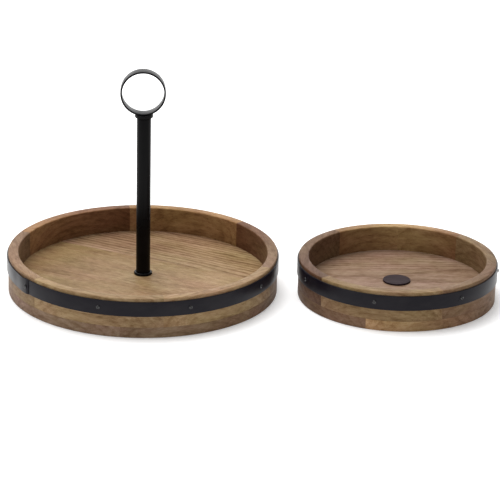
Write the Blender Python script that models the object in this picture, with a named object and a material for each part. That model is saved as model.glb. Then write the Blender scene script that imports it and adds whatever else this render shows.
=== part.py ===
"""A convertible two-tier serving stand: two round wooden trays, a post with a ring handle, and a plug.

The large tray carries the post. The small tray stands beside it with a plug over its centre hole.
To stack the tiers, the ring handle unscrews, the small tray goes on the post and the handle clamps it.
Metres, +Z up. The table is at z = 0, and the origin is under the middle of the whole set.
"""

import bisect
import math
from collections import namedtuple

import bmesh
import bpy
from mathutils import Matrix, Vector

# Clearances
GAP = 0.0003
THREAD_GAP = 0.0003

# Trays
LARGE_RADIUS = 0.200
SMALL_RADIUS = 0.1468
TRAY_SPACING = 0.0309
SMALL_TRAY_Y = -0.0086
TRAY_HEIGHT = 0.060
RIM_WALL = 0.0153
LOWER_RING_HEIGHT = 0.016
EDGE_EASE = 0.0016
FLOOR_TOP = 0.022
FLOOR_THICKNESS = 0.012
LEDGE_WIDTH = 0.006

# Joints between the rim blocks, as bearings from the front (-Y), positive towards +X
LARGE_UPPER_JOINTS = (11, 71, 132, 189, 250, 311)
LARGE_LOWER_JOINTS = (53, 113, 173, 233, 293, 353)
SMALL_UPPER_JOINTS = (24, 80, 135, 177, 219, 309)
SMALL_LOWER_JOINTS = (52, 108, 156, 198, 262, 340)

# Floor boards: grain direction from +X, and the seams' distances from the centre
LARGE_GRAIN_ANGLE = -26
LARGE_BOARD_SEAMS = (-0.064, 0.058)
SMALL_GRAIN_ANGLE = 3
SMALL_BOARD_SEAMS = (-0.046, 0.049)

# Metal bands and their screws
BAND_BOTTOM = 0.0332
BAND_HEIGHT = 0.022
BAND_THICKNESS = 0.0018
BAND_LAP = 0.011
BAND_LAP_RAMP = 0.030
LARGE_BAND_SEAM = -54
LARGE_SCREW_COUNT = 9
LARGE_SCREW_PITCH = 38.1
SMALL_BAND_SEAM = 190.5
SMALL_SCREW_COUNT = 7
SMALL_SCREW_PITCH = 360 / 7
SCREW_HEAD_DIAMETER = 0.0060
SCREW_HEAD_HEIGHT = 0.0017
SCREW_SHANK_DIAMETER = 0.0030
SCREW_LENGTH = 0.012

# Post
POST_DIAMETER = 0.021
POST_WALL = 0.002
POST_TOP = 0.2648
FLANGE_REACH = 0.003
FLANGE_HEIGHT = 0.0036
FLANGE_ROUND = 0.0014
INSERT_LENGTH = 0.020
BOLT_DIAMETER = 0.008
BOLT_ENGAGEMENT = 0.014
BOLT_HEAD_ACROSS_FLATS = 0.013
BOLT_HEAD_HEIGHT = 0.0053
BASE_WASHER_DIAMETER = 0.024
BASE_WASHER_THICKNESS = 0.0016

# Ring handle
HANDLE_WASHER_INSET = 0.0002
HANDLE_WASHER_THICKNESS = 0.001
STUD_ENGAGEMENT = 0.010
COLLAR_REACH = 0.003
COLLAR_RISE = 0.0041
COLLAR_HORN = 0.0026
COLLAR_CHAMFER = 0.0012
RING_OUTER_DIAMETER = 0.0666
RING_STRIP_THICKNESS = 0.0026
RING_STRIP_WIDTH = 0.0185
RING_OFFSET = -0.0015
RING_YAW = 2.5
RING_EDGE_EASE = 0.0004

# Plug
PLUG_DIAMETER = 0.041
PLUG_THICKNESS = 0.0025
PLUG_EASE = 0.0006
PLUG_SPIGOT_LENGTH = 0.010
TRAY_HOLE_DIAMETER = 0.010

# Facets: the angle between the points of a rim, and the points round each smaller circle
RIM_STEP = 5
LEAST_STEP = 0.5
SADDLE_STEPS = 96
HOOP_STEPS = 48
SMALL_ROUND_STEPS = 32
ROD_STEPS = 24
SCREW_STEPS = 12
SHARP_EDGE_ANGLE = 35

Tray = namedtuple(
    "Tray", "name radius x y upper_joints lower_joints grain seams hole band_seam screws pitch"
)

CENTRE_DISTANCE = LARGE_RADIUS + TRAY_SPACING + SMALL_RADIUS
LARGE_X = -(CENTRE_DISTANCE + SMALL_RADIUS - LARGE_RADIUS) / 2

LARGE = Tray(
    "large", LARGE_RADIUS, LARGE_X, 0.0, LARGE_UPPER_JOINTS, LARGE_LOWER_JOINTS,
    LARGE_GRAIN_ANGLE, LARGE_BOARD_SEAMS, BOLT_DIAMETER + 2 * THREAD_GAP,
    LARGE_BAND_SEAM, LARGE_SCREW_COUNT, LARGE_SCREW_PITCH,
)
SMALL = Tray(
    "small", SMALL_RADIUS, LARGE_X + CENTRE_DISTANCE, SMALL_TRAY_Y, SMALL_UPPER_JOINTS,
    SMALL_LOWER_JOINTS, SMALL_GRAIN_ANGLE, SMALL_BOARD_SEAMS, TRAY_HOLE_DIAMETER,
    SMALL_BAND_SEAM, SMALL_SCREW_COUNT, SMALL_SCREW_PITCH,
)

POST_FOOT = FLOOR_TOP + GAP
COLLAR_BOTTOM = POST_TOP + 2 * GAP + HANDLE_WASHER_THICKNESS
RING_CENTRE = COLLAR_BOTTOM + COLLAR_RISE + GAP + RING_OUTER_DIAMETER / 2
THREAD_HOLE_RADIUS = BOLT_DIAMETER / 2 + THREAD_GAP
SAME_POINT = GAP / 10


def clear_scene():
    for obj in list(bpy.data.objects):
        bpy.data.objects.remove(obj, do_unlink=True)


def material(name, colour, roughness, metallic=0.0):
    """A Principled material, made once and shared by the pieces that have it."""
    made = bpy.data.materials.get(name)
    if made is None:
        made = bpy.data.materials.new(name)
        made.use_nodes = True
        shader = made.node_tree.nodes["Principled BSDF"]
        shader.inputs["Base Color"].default_value = (*colour, 1.0)
        shader.inputs["Roughness"].default_value = roughness
        shader.inputs["Metallic"].default_value = metallic
    return made


def light_wood():
    return material("light_wood", (0.33, 0.20, 0.10), 0.5)


def dark_wood():
    return material("dark_wood", (0.20, 0.12, 0.07), 0.5)


def floor_wood():
    return material("floor_wood", (0.42, 0.26, 0.14), 0.5)


def black_metal():
    return material("black_metal", (0.012, 0.013, 0.017), 0.35, 1.0)


def plated_steel():
    return material("plated_steel", (0.55, 0.56, 0.58), 0.35, 1.0)


def plug_finish():
    return material("plug_finish", (0.035, 0.018, 0.015), 0.5)


def bearing(degrees):
    """The direction at an angle from the front (-Y), positive towards +X."""
    angle = math.radians(degrees)
    return Vector((math.sin(angle), -math.cos(angle), 0.0))


def add_object(name, mesh_builder, finish, parent=None, at=(0, 0, 0)):
    """An object from a filled bmesh, with its faces turned outwards and its round faces smooth."""
    bmesh.ops.recalc_face_normals(mesh_builder, faces=mesh_builder.faces[:])
    mesh = bpy.data.meshes.new(name)
    mesh_builder.to_mesh(mesh)
    mesh_builder.free()
    mesh.materials.append(finish)
    mesh.shade_smooth()
    mesh.set_sharp_from_angle(angle=math.radians(SHARP_EDGE_ANGLE))
    obj = bpy.data.objects.new(name, mesh)
    obj.location = at
    obj.parent = parent
    bpy.context.scene.collection.objects.link(obj)
    return obj


def add_empty(name, at):
    empty = bpy.data.objects.new(name, None)
    empty.location = at
    bpy.context.scene.collection.objects.link(empty)
    return empty


def make_cutter(obj):
    obj.hide_render = True
    obj.display_type = "WIRE"


def cut(obj, cutter):
    modifier = obj.modifiers.new("Cut " + cutter.name, "BOOLEAN")
    modifier.operation = "DIFFERENCE"
    modifier.solver = "EXACT"
    modifier.object = cutter


def swept(sections, closed):
    """A bmesh skinned over equal sections, each a loop of points, joined end to end or capped."""
    built = bmesh.new()
    rows = [[built.verts.new(point) for point in section] for section in sections]
    count = len(rows[0])
    pairs = list(zip(rows, rows[1:]))
    if closed:
        pairs.append((rows[-1], rows[0]))
    else:
        built.faces.new(rows[0])
        built.faces.new(rows[-1][::-1])
    for first, second in pairs:
        for i in range(count):
            j = (i + 1) % count
            built.faces.new((first[i], first[j], second[j], second[i]))
    return built


def turned_ring(profile, steps=SMALL_ROUND_STEPS):
    """A ring turned about Z from a closed (radius, z) profile."""
    sections = [
        [bearing(360 * i / steps) * r + Vector((0, 0, z)) for r, z in profile] for i in range(steps)
    ]
    return swept(sections, closed=True)


def turned_solid(profile, steps=SMALL_ROUND_STEPS):
    """A solid turned about Z from a (radius, z) profile, capped flat at its two ends."""
    sections = [
        [bearing(360 * i / steps) * r + Vector((0, 0, z)) for i in range(steps)] for r, z in profile
    ]
    return swept(sections, closed=False)


def arc_angles(start, end, step=RIM_STEP):
    """The angles from start to end: both ends, and every whole step between them."""
    first = math.floor(start / step) + 1
    last = math.ceil(end / step) - 1
    shared = [i * step for i in range(first, last + 1)]
    inside = [a for a in shared if start + LEAST_STEP < a < end - LEAST_STEP]
    return [start] + inside + [end]


def sector(profile, start, end):
    """Part of a ring about Z, from one bearing to another, with flat ends."""
    sections = [
        [bearing(a) * r + Vector((0, 0, z)) for r, z in profile] for a in arc_angles(start, end)
    ]
    return swept(sections, closed=False)


def block_spans(joints, radius):
    """The bearings between which each rim block runs, with the glue gap taken off."""
    half_gap = math.degrees(GAP / radius) / 2
    ends = joints[1:] + (joints[0] + 360,)
    return [(start + half_gap, end - half_gap) for start, end in zip(joints, ends)]


def upper_ring(tray, axis):
    inner = tray.radius - RIM_WALL
    profile = [
        (tray.radius, LOWER_RING_HEIGHT),
        (tray.radius, TRAY_HEIGHT - EDGE_EASE),
        (tray.radius - EDGE_EASE, TRAY_HEIGHT),
        (inner + EDGE_EASE, TRAY_HEIGHT),
        (inner, TRAY_HEIGHT - EDGE_EASE),
        (inner, LOWER_RING_HEIGHT),
    ]
    for i, span in enumerate(block_spans(tray.upper_joints, inner), 1):
        yield add_object(f"{tray.name}_rim_upper_{i}", sector(profile, *span), light_wood(), axis)


def lower_ring(tray, axis):
    """The bottom ring of blocks, with the ledge that the floor boards lie on."""
    inner = tray.radius - RIM_WALL
    ledge_top = FLOOR_TOP - FLOOR_THICKNESS - GAP
    profile = [
        (inner - LEDGE_WIDTH, 0.0),
        (tray.radius - EDGE_EASE, 0.0),
        (tray.radius, EDGE_EASE),
        (tray.radius, LOWER_RING_HEIGHT - GAP),
        (inner, LOWER_RING_HEIGHT - GAP),
        (inner, ledge_top),
        (inner - LEDGE_WIDTH, ledge_top),
    ]
    for i, span in enumerate(block_spans(tray.lower_joints, inner), 1):
        add_object(f"{tray.name}_rim_lower_{i}", sector(profile, *span), dark_wood(), axis)


def board_outline(radius, low, high):
    """The part of a disc between two chords along X, at y = low and y = high, as points in order."""
    right = [math.asin(max(-1.0, low / radius)), math.asin(min(1.0, high / radius))]
    count = max(4, round(math.degrees(right[1] - right[0]) / RIM_STEP))
    rise = [right[0] + (right[1] - right[0]) * i / count for i in range(count + 1)]
    points = [Vector((radius * math.cos(a), radius * math.sin(a), 0)) for a in rise]
    points += [Vector((-p.x, p.y, 0)) for p in reversed(points)]
    return [p for i, p in enumerate(points) if (p - points[i - 1]).length > SAME_POINT]


def floor_boards(tray, axis):
    """The floor, glued from boards that run along the grain, with the tray's hole in its middle."""
    radius = tray.radius - RIM_WALL - GAP
    edges = (-radius,) + tray.seams + (radius,)
    hole = add_object(
        f"{tray.name}_hole_cutter",
        turned_solid([(tray.hole / 2, -TRAY_HEIGHT), (tray.hole / 2, TRAY_HEIGHT)]),
        floor_wood(),
        axis,
    )
    make_cutter(hole)
    turn = Matrix.Rotation(math.radians(tray.grain), 4, "Z")
    middle = bisect.bisect(edges, 0.0)
    for i, (low, high) in enumerate(zip(edges, edges[1:]), 1):
        outline = board_outline(
            radius, low + (GAP / 2 if i > 1 else 0), high - (GAP / 2 if i < len(edges) - 1 else 0)
        )
        sections = [
            [turn @ point + Vector((0, 0, z)) for point in outline]
            for z in (FLOOR_TOP - FLOOR_THICKNESS, FLOOR_TOP)
        ]
        board = add_object(
            f"{tray.name}_floor_board_{i}", swept(sections, closed=False), floor_wood(), axis
        )
        if i == middle:
            cut(board, hole)


def band_radius(tray, travelled, total):
    """The band's inner radius: it steps out by its own thickness where its end laps over its start."""
    lap_start = total - BAND_LAP / tray.radius
    ramp = BAND_LAP_RAMP / tray.radius
    rise = min(1.0, max(0.0, (travelled - lap_start + ramp) / ramp))
    return tray.radius + GAP + rise * (BAND_THICKNESS + GAP)


def band(tray, axis):
    """The flat metal hoop, with one end lapped over the other and screwed through."""
    lap = math.degrees(BAND_LAP / tray.radius)
    start = tray.band_seam - lap / 2
    total = math.radians(360 + lap)
    sections = []
    for angle in arc_angles(start, start + 360 + lap):
        inner = band_radius(tray, math.radians(angle - start), total)
        outer = inner + BAND_THICKNESS
        corners = [
            (inner, BAND_BOTTOM),
            (outer, BAND_BOTTOM),
            (outer, BAND_BOTTOM + BAND_HEIGHT),
            (inner, BAND_BOTTOM + BAND_HEIGHT),
        ]
        sections.append([bearing(angle) * r + Vector((0, 0, z)) for r, z in corners])
    return add_object(f"{tray.name}_band", swept(sections, closed=False), black_metal(), axis)


def screw_solid():
    """A dome-headed screw along +Z, with the underside of its head at z = 0."""
    head = SCREW_HEAD_DIAMETER / 2
    shank = SCREW_SHANK_DIAMETER / 2
    profile = [(shank * 0.35, -SCREW_LENGTH), (shank, -SCREW_LENGTH + 2 * shank), (shank, 0.0)]
    profile += [(head, 0.0), (head, SCREW_HEAD_HEIGHT * 0.3)]
    profile += [(head * 0.78, SCREW_HEAD_HEIGHT * 0.75), (head * 0.4, SCREW_HEAD_HEIGHT)]
    return turned_solid(profile, SCREW_STEPS)


def screw_hole_solid():
    radius = SCREW_SHANK_DIAMETER / 2 + GAP
    return turned_solid([(radius, -SCREW_LENGTH - GAP), (radius, 4 * BAND_THICKNESS)], SCREW_STEPS)


def screw_place(tray, number):
    """The matrix that lays a screw along the outward direction at its place on the band."""
    angle = tray.band_seam + number * tray.pitch
    seat = tray.radius + 2 * GAP + BAND_THICKNESS
    if number == 0:
        seat += BAND_THICKNESS + GAP
    out = bearing(angle)
    turn = out.to_track_quat("Z", "Y").to_matrix().to_4x4()
    height = Vector((0, 0, BAND_BOTTOM + BAND_HEIGHT / 2))
    return Matrix.Translation(out * seat + height) @ turn


def band_screws(tray, axis, drilled):
    """The screws through the band into the rim, and their holes in both."""
    for number in range(tray.screws):
        place = screw_place(tray, number)
        screw = add_object(
            f"{tray.name}_band_screw_{number + 1}", screw_solid(), black_metal(), axis
        )
        screw.matrix_local = place
    holes = bmesh.new()
    for number in range(tray.screws):
        hole = screw_hole_solid()
        hole.transform(screw_place(tray, number))
        scratch = bpy.data.meshes.new("hole")
        hole.to_mesh(scratch)
        hole.free()
        holes.from_mesh(scratch)
        bpy.data.meshes.remove(scratch)
    cutter = add_object(f"{tray.name}_screw_hole_cutter", holes, black_metal(), axis)
    make_cutter(cutter)
    for obj in drilled:
        cut(obj, cutter)


def tray_assembly(tray):
    """One tray about its own axis: rim blocks, floor boards, metal band and the band's screws."""
    axis = add_empty(f"{tray.name}_tray_axis", (tray.x, tray.y, 0.0))
    blocks = list(upper_ring(tray, axis))
    lower_ring(tray, axis)
    floor_boards(tray, axis)
    hoop = band(tray, axis)
    band_screws(tray, axis, blocks + [hoop])
    return axis


def rounded_shoulder(radius, top, ease, points=3):
    """(radius, z) points of a quarter round from a side up and over to a flat top."""
    quarter = [math.pi / 2 * i / points for i in range(points + 1)]
    return [(radius - ease + ease * math.cos(a), top - ease + ease * math.sin(a)) for a in quarter]


def post_pieces(axis):
    """The tube, its foot flange and the two threaded inserts that close its ends."""
    outer = POST_DIAMETER / 2
    bore = outer - POST_WALL
    tube = [(outer, POST_FOOT), (outer, POST_TOP), (bore, POST_TOP), (bore, POST_FOOT)]
    add_object("post_tube", turned_ring(tube), black_metal(), axis)
    rim = outer + FLANGE_REACH
    flange = [(outer + GAP, POST_FOOT + FLANGE_HEIGHT), (outer + GAP, POST_FOOT), (rim, POST_FOOT)]
    flange += rounded_shoulder(rim, POST_FOOT + FLANGE_HEIGHT, FLANGE_ROUND)
    add_object("post_foot_flange", turned_ring(flange), black_metal(), axis)
    for name, low in (
        ("post_foot_insert", POST_FOOT + GAP),
        ("post_top_insert", POST_TOP - GAP - INSERT_LENGTH),
    ):
        radius = bore - GAP
        insert = [
            (radius, low),
            (radius, low + INSERT_LENGTH),
            (THREAD_HOLE_RADIUS, low + INSERT_LENGTH),
            (THREAD_HOLE_RADIUS, low),
        ]
        add_object(name, turned_ring(insert), plated_steel(), axis)


def hexagon_radius(degrees):
    """How far the side of the bolt's hexagon head is from its axis, at an angle."""
    from_middle_of_flat = math.radians(degrees % 60 - 30)
    return BOLT_HEAD_ACROSS_FLATS / 2 / math.cos(from_middle_of_flat)


def clamp_bolt(axis):
    """The bolt from below that holds the post on the large tray, and its washer."""
    washer_top = FLOOR_TOP - FLOOR_THICKNESS - GAP
    washer_bottom = washer_top - BASE_WASHER_THICKNESS
    washer = [
        (BASE_WASHER_DIAMETER / 2, washer_bottom),
        (BASE_WASHER_DIAMETER / 2, washer_top),
        (THREAD_HOLE_RADIUS, washer_top),
        (THREAD_HOLE_RADIUS, washer_bottom),
    ]
    add_object("base_washer", turned_ring(washer), plated_steel(), axis)
    head_top = washer_bottom - GAP
    angles = [360 * i / ROD_STEPS for i in range(ROD_STEPS)]
    head = [bearing(a) * hexagon_radius(a) for a in angles]
    shank = [bearing(a) * BOLT_DIAMETER / 2 for a in angles]
    levels = [
        (head, head_top - BOLT_HEAD_HEIGHT),
        (head, head_top),
        (shank, head_top),
        (shank, POST_FOOT + BOLT_ENGAGEMENT),
    ]
    sections = [[point + Vector((0, 0, z)) for point in outline] for outline, z in levels]
    add_object("clamp_bolt", swept(sections, closed=False), plated_steel(), axis)


def ring_place():
    """Stands a turned shape up round the ring's own axis, a little off the post's axis."""
    yaw = Matrix.Rotation(math.radians(RING_YAW), 4, "Z")
    return Matrix.Translation((RING_OFFSET, 0, RING_CENTRE)) @ yaw @ Matrix.Rotation(math.pi / 2, 4, "X")


def ring_hoop(parent):
    """The flat strip rolled to a ring, standing with its hole nearly along Y."""
    outer = RING_OUTER_DIAMETER / 2
    inner = outer - RING_STRIP_THICKNESS
    half = RING_STRIP_WIDTH / 2
    e = RING_EDGE_EASE
    profile = [
        (inner, -half + e), (inner + e, -half), (outer - e, -half), (outer, -half + e),
        (outer, half - e), (outer - e, half), (inner + e, half), (inner, half - e),
    ]
    built = turned_ring(profile, steps=HOOP_STEPS)
    built.transform(ring_place())
    return add_object("ring_hoop", built, black_metal(), parent)


def ring_collar(parent):
    """The collar under the ring, chamfered below and hollowed on top to seat the strip."""
    radius = POST_DIAMETER / 2 + COLLAR_REACH
    top = COLLAR_BOTTOM + COLLAR_RISE + COLLAR_HORN
    profile = [
        (radius - COLLAR_CHAMFER, COLLAR_BOTTOM),
        (radius, COLLAR_BOTTOM + COLLAR_CHAMFER),
        (radius, top),
        (THREAD_HOLE_RADIUS, top),
        (THREAD_HOLE_RADIUS, COLLAR_BOTTOM),
    ]
    collar = add_object("ring_collar", turned_ring(profile), black_metal(), parent)
    seat = RING_OUTER_DIAMETER / 2 + GAP
    saddle = turned_solid([(seat, -2 * radius), (seat, 2 * radius)], SADDLE_STEPS)
    saddle.transform(ring_place())
    cutter = add_object("ring_saddle_cutter", saddle, black_metal(), parent)
    make_cutter(cutter)
    cut(collar, cutter)


def ring_handle(axis):
    """The ring, its collar, the stud below it and the washer that rides on the stud."""
    ring_hoop(axis)
    ring_collar(axis)
    stud_top = COLLAR_BOTTOM + COLLAR_RISE - GAP
    stud = [(BOLT_DIAMETER / 2, POST_TOP - STUD_ENGAGEMENT), (BOLT_DIAMETER / 2, stud_top)]
    add_object("ring_stud", turned_solid(stud, ROD_STEPS), plated_steel(), axis)
    low = POST_TOP + GAP
    high = low + HANDLE_WASHER_THICKNESS
    outer = POST_DIAMETER / 2 - HANDLE_WASHER_INSET
    washer = [(outer, low), (outer, high), (THREAD_HOLE_RADIUS, high), (THREAD_HOLE_RADIUS, low)]
    add_object("handle_washer", turned_ring(washer), black_metal(), axis)


def plug(axis):
    """The round cover over the small tray's hole, with a spigot that centres it."""
    seat = FLOOR_TOP + GAP
    spigot = TRAY_HOLE_DIAMETER / 2 - GAP
    profile = [(spigot, seat - PLUG_SPIGOT_LENGTH), (spigot, seat), (PLUG_DIAMETER / 2, seat)]
    profile += rounded_shoulder(PLUG_DIAMETER / 2, seat + PLUG_THICKNESS, PLUG_EASE)
    add_object("hole_plug", turned_solid(profile), plug_finish(), axis)


def main():
    clear_scene()
    large_axis = tray_assembly(LARGE)
    small_axis = tray_assembly(SMALL)
    post_pieces(large_axis)
    clamp_bolt(large_axis)
    ring_handle(large_axis)
    plug(small_axis)


main()
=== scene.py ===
"""Looks of a convertible two-tier serving stand.

Two round trays are glued up from stained hardwood blocks, and each is bound by a black steel band
on dome-headed screws. A black tube post with a rolled ring handle stands on the large tray, and a
dark plug covers the hole in the small one. Metres, +Z up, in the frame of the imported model.
"""

import logging
import math
from collections.abc import Sequence
from dataclasses import dataclass, field
from enum import Enum

import bpy
import numpy as np
from mathutils import Matrix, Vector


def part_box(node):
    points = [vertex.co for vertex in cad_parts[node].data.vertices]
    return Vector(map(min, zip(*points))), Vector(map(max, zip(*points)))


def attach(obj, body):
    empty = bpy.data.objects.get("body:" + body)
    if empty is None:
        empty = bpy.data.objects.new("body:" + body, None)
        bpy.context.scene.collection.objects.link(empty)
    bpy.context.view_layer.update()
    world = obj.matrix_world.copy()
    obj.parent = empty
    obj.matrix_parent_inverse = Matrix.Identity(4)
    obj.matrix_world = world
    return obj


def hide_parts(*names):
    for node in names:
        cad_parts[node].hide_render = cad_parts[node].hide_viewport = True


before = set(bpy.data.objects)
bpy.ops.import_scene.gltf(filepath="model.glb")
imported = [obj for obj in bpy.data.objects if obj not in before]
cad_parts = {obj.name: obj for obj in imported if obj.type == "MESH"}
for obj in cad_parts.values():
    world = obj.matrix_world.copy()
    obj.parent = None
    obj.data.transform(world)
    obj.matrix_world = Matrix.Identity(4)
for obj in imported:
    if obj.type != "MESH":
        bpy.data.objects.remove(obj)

Array = np.ndarray
Colour = tuple[float, float, float]
Socket = bpy.types.NodeSocket
Material = bpy.types.Material

LARGE_BODY = "large_tray"
SMALL_BODY = "small_tray"
RING_BODY = "ring_handle"
WASHER_BODY = "handle_washer"
PLUG_BODY = "plug"

LOG_STEP = 0.5


# ---- surfaces


def fillet_outline(corners: Array, radii: Array, steps: int = 4) -> Array:
    """A closed outline with its corners rounded.

    At a corner p between unit directions a and b, with the angle t between them, the arc of radius
    r has its centre at p + (a + b) / |a + b| * r / sin(t / 2), and it is swept from one tangent
    point to the other by spherical interpolation.

    Args:
        corners: The (n, 2) corner points, in order.
        radii: The rounding radius at each corner, above zero.
        steps: The number of chords in each arc.

    Returns:
        The (n * (steps + 1), 2) points of the rounded outline, in the same order.
    """
    corners = np.asarray(corners, float)
    radii = np.asarray(radii, float)[:, None]
    before = np.roll(corners, 1, axis=0) - corners
    after = np.roll(corners, -1, axis=0) - corners
    before /= np.linalg.norm(before, axis=1, keepdims=True)
    after /= np.linalg.norm(after, axis=1, keepdims=True)
    half = np.arccos(np.clip((before * after).sum(1, keepdims=True), -1, 1)) / 2
    middle = before + after
    middle /= np.linalg.norm(middle, axis=1, keepdims=True)
    centre = corners + middle * radii / np.sin(half)
    start = (corners + before * radii / np.tan(half) - centre) / radii
    end = (corners + after * radii / np.tan(half) - centre) / radii
    sweep = np.arccos(np.clip((start * end).sum(1, keepdims=True), -1, 1))[:, None]
    u = np.linspace(0, 1, steps + 1)[None, :, None]
    arc = np.sin((1 - u) * sweep) * start[:, None] + np.sin(u * sweep) * end[:, None]
    return (centre[:, None] + radii[:, None] * arc / np.sin(sweep)).reshape(-1, 2)


def turn(profile: Array, degrees: Array, centre: Array = (0.0, 0.0)) -> Array:
    """A profile carried round a vertical axis.

    Point (r, z) at bearing a goes to (cx + r sin a, cy - r cos a, z), so bearing 0 is the front.

    Args:
        profile: (p, 2) points of radius and height, or (s, p, 2) with one profile per bearing.
        degrees: The s bearings.
        centre: The axis in X and Y.

    Returns:
        The (s, p, 3) grid of points.
    """
    profile = np.broadcast_to(profile, (len(degrees),) + profile.shape[-2:])
    angle = np.radians(degrees)[:, None]
    x = centre[0] + profile[..., 0] * np.sin(angle)
    y = centre[1] - profile[..., 0] * np.cos(angle)
    return np.stack([x, y, profile[..., 1]], axis=-1)


def ring_section(
    inner: float, outer: float, low: float, high: float, rounds: Array | float, steps: int = 4
) -> Array:
    """The rounded outline of a ring's section, from its inner bottom corner outwards.

    Args:
        inner: The inner radius.
        outer: The outer radius.
        low: The bottom's height.
        high: The top's height.
        rounds: One rounding radius, or one for each of the four corners.
        steps: The number of chords in each arc.

    Returns:
        The (4 * (steps + 1), 2) points of radius and height.
    """
    corners = [(inner, low), (outer, low), (outer, high), (inner, high)]
    return fillet_outline(corners, np.broadcast_to(rounds, 4), steps)


def loops_about(axis: Array, radius: Array, angle: Array, height: Array) -> Array:
    """Level loops round a vertical axis: (cx + r cos a, cy + r sin a, z).

    Args:
        axis: The axis in X and Y.
        radius: The radius of each loop, (s, 1), or of each of its points, (s, p).
        angle: The p bearings from +X, in radians.
        height: The (s, 1) heights of the loops.

    Returns:
        The (s, p, 3) grid.
    """
    x = axis[0] + radius * np.cos(angle)
    y = axis[1] + radius * np.sin(angle)
    return np.stack([x, y, np.broadcast_to(height, x.shape)], axis=-1)


def full_turn(count: int) -> Array:
    """Equal bearings once round, in radians."""
    return np.linspace(0, 2 * math.pi, count, endpoint=False)


def skin(grid: Array, wrap: bool) -> list[list[int]]:
    """Faces over a grid whose rows are closed loops.

    Quad (i, j) joins points j and j + 1 of loops i and i + 1.

    Args:
        grid: The (s, p, 3) points.
        wrap: True joins the last loop to the first; False closes both ends with a flat face.

    Returns:
        The faces, as lists of indices into grid.reshape(-1, 3).
    """
    rows, columns = grid.shape[:2]
    i = np.arange(rows if wrap else rows - 1)[:, None]
    j = np.arange(columns)[None, :]
    next_i = (i + 1) % rows
    next_j = (j + 1) % columns
    corners = [i * columns + j, i * columns + next_j, next_i * columns + next_j, next_i * columns + j]
    faces = np.stack(corners, axis=-1).reshape(-1, 4).tolist()
    if not wrap:
        faces.append(list(range(columns))[::-1])
        faces.append(list(range((rows - 1) * columns, rows * columns)))
    return faces


def enclosed_volume(points: Array, faces: list[list[int]]) -> float:
    """The signed volume inside closed faces: the sum of p0 . (p1 x p2) / 6 over their fans."""
    fans = [(f[0], f[k], f[k + 1]) for f in faces for k in range(1, len(f) - 1)]
    a, b, c = np.moveaxis(points[np.array(fans)], 1, 0)
    return float(np.einsum("ij,ij->", a, np.cross(b, c)) / 6)


def smooth_step(value: Array, low: float, high: float) -> Array:
    """0 below low, 1 above high, and 3 t^2 - 2 t^3 between them."""
    t = np.clip((value - low) / (high - low), 0, 1)
    return t * t * (3 - 2 * t)


@dataclass
class Piece:
    """One closed surface of the object, with what its finish reads.

    Attributes:
        name: The object's name.
        grid: The (s, p, 3) points of its closed loops.
        wrap: Whether the last loop joins the first.
        timber: The (s, p, 3) coordinates in the board that a wooden piece is cut from.
        stain: The (s, p, 3) colours of a wooden piece under its stain, with painted shade on a few
            blocks.
        figure: How strongly a wooden piece shows its growth rings, from 0 to 1.
        crease: The angle in degrees above which an edge is sharp.
    """

    name: str
    grid: Array
    wrap: bool
    timber: Array | None = None
    stain: Array | None = None
    figure: float = 0.5
    crease: float = 34.0

    def build(self, finish: Material, body: str, slot: str, nodes: list[str]) -> None:
        """Makes the object, dresses it, and puts it on its body in place of its CAD nodes.

        Args:
            finish: The material.
            body: The CAD body that it rides on.
            slot: The record's material slot; not used.
            nodes: The CAD nodes that it stands for.
        """
        points = self.grid.reshape(-1, 3)
        faces = skin(self.grid, self.wrap)
        if enclosed_volume(points, faces) < 0:
            faces = [face[::-1] for face in faces]
        mesh = bpy.data.meshes.new(self.name)
        mesh.from_pydata(points.tolist(), [], faces)
        if self.timber is not None:
            self.add_wood_attributes(mesh)
        mesh.materials.append(finish)
        mesh.shade_smooth()
        mesh.set_sharp_from_angle(angle=math.radians(self.crease))
        obj = bpy.data.objects.new(self.name, mesh)
        bpy.context.scene.collection.objects.link(obj)
        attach(obj, body)
        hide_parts(*nodes)
        logging.info("%s: %d faces on %s", self.name, len(faces), body)

    def add_wood_attributes(self, mesh: bpy.types.Mesh) -> None:
        """Stores the board coordinates, the stain and the figure on the mesh's points."""
        solid = np.ones(self.stain.shape[:2] + (1,))
        for name, kind, key, values in (
            ("timber", "FLOAT_VECTOR", "vector", self.timber),
            ("stain", "FLOAT_COLOR", "color", np.concatenate([self.stain, solid], axis=-1)),
            ("figure", "FLOAT", "value", solid * self.figure),
        ):
            layer = mesh.attributes.new(name, kind, "POINT")
            layer.data.foreach_set(key, values.astype(np.float32).ravel())


# ---- finishes


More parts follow.
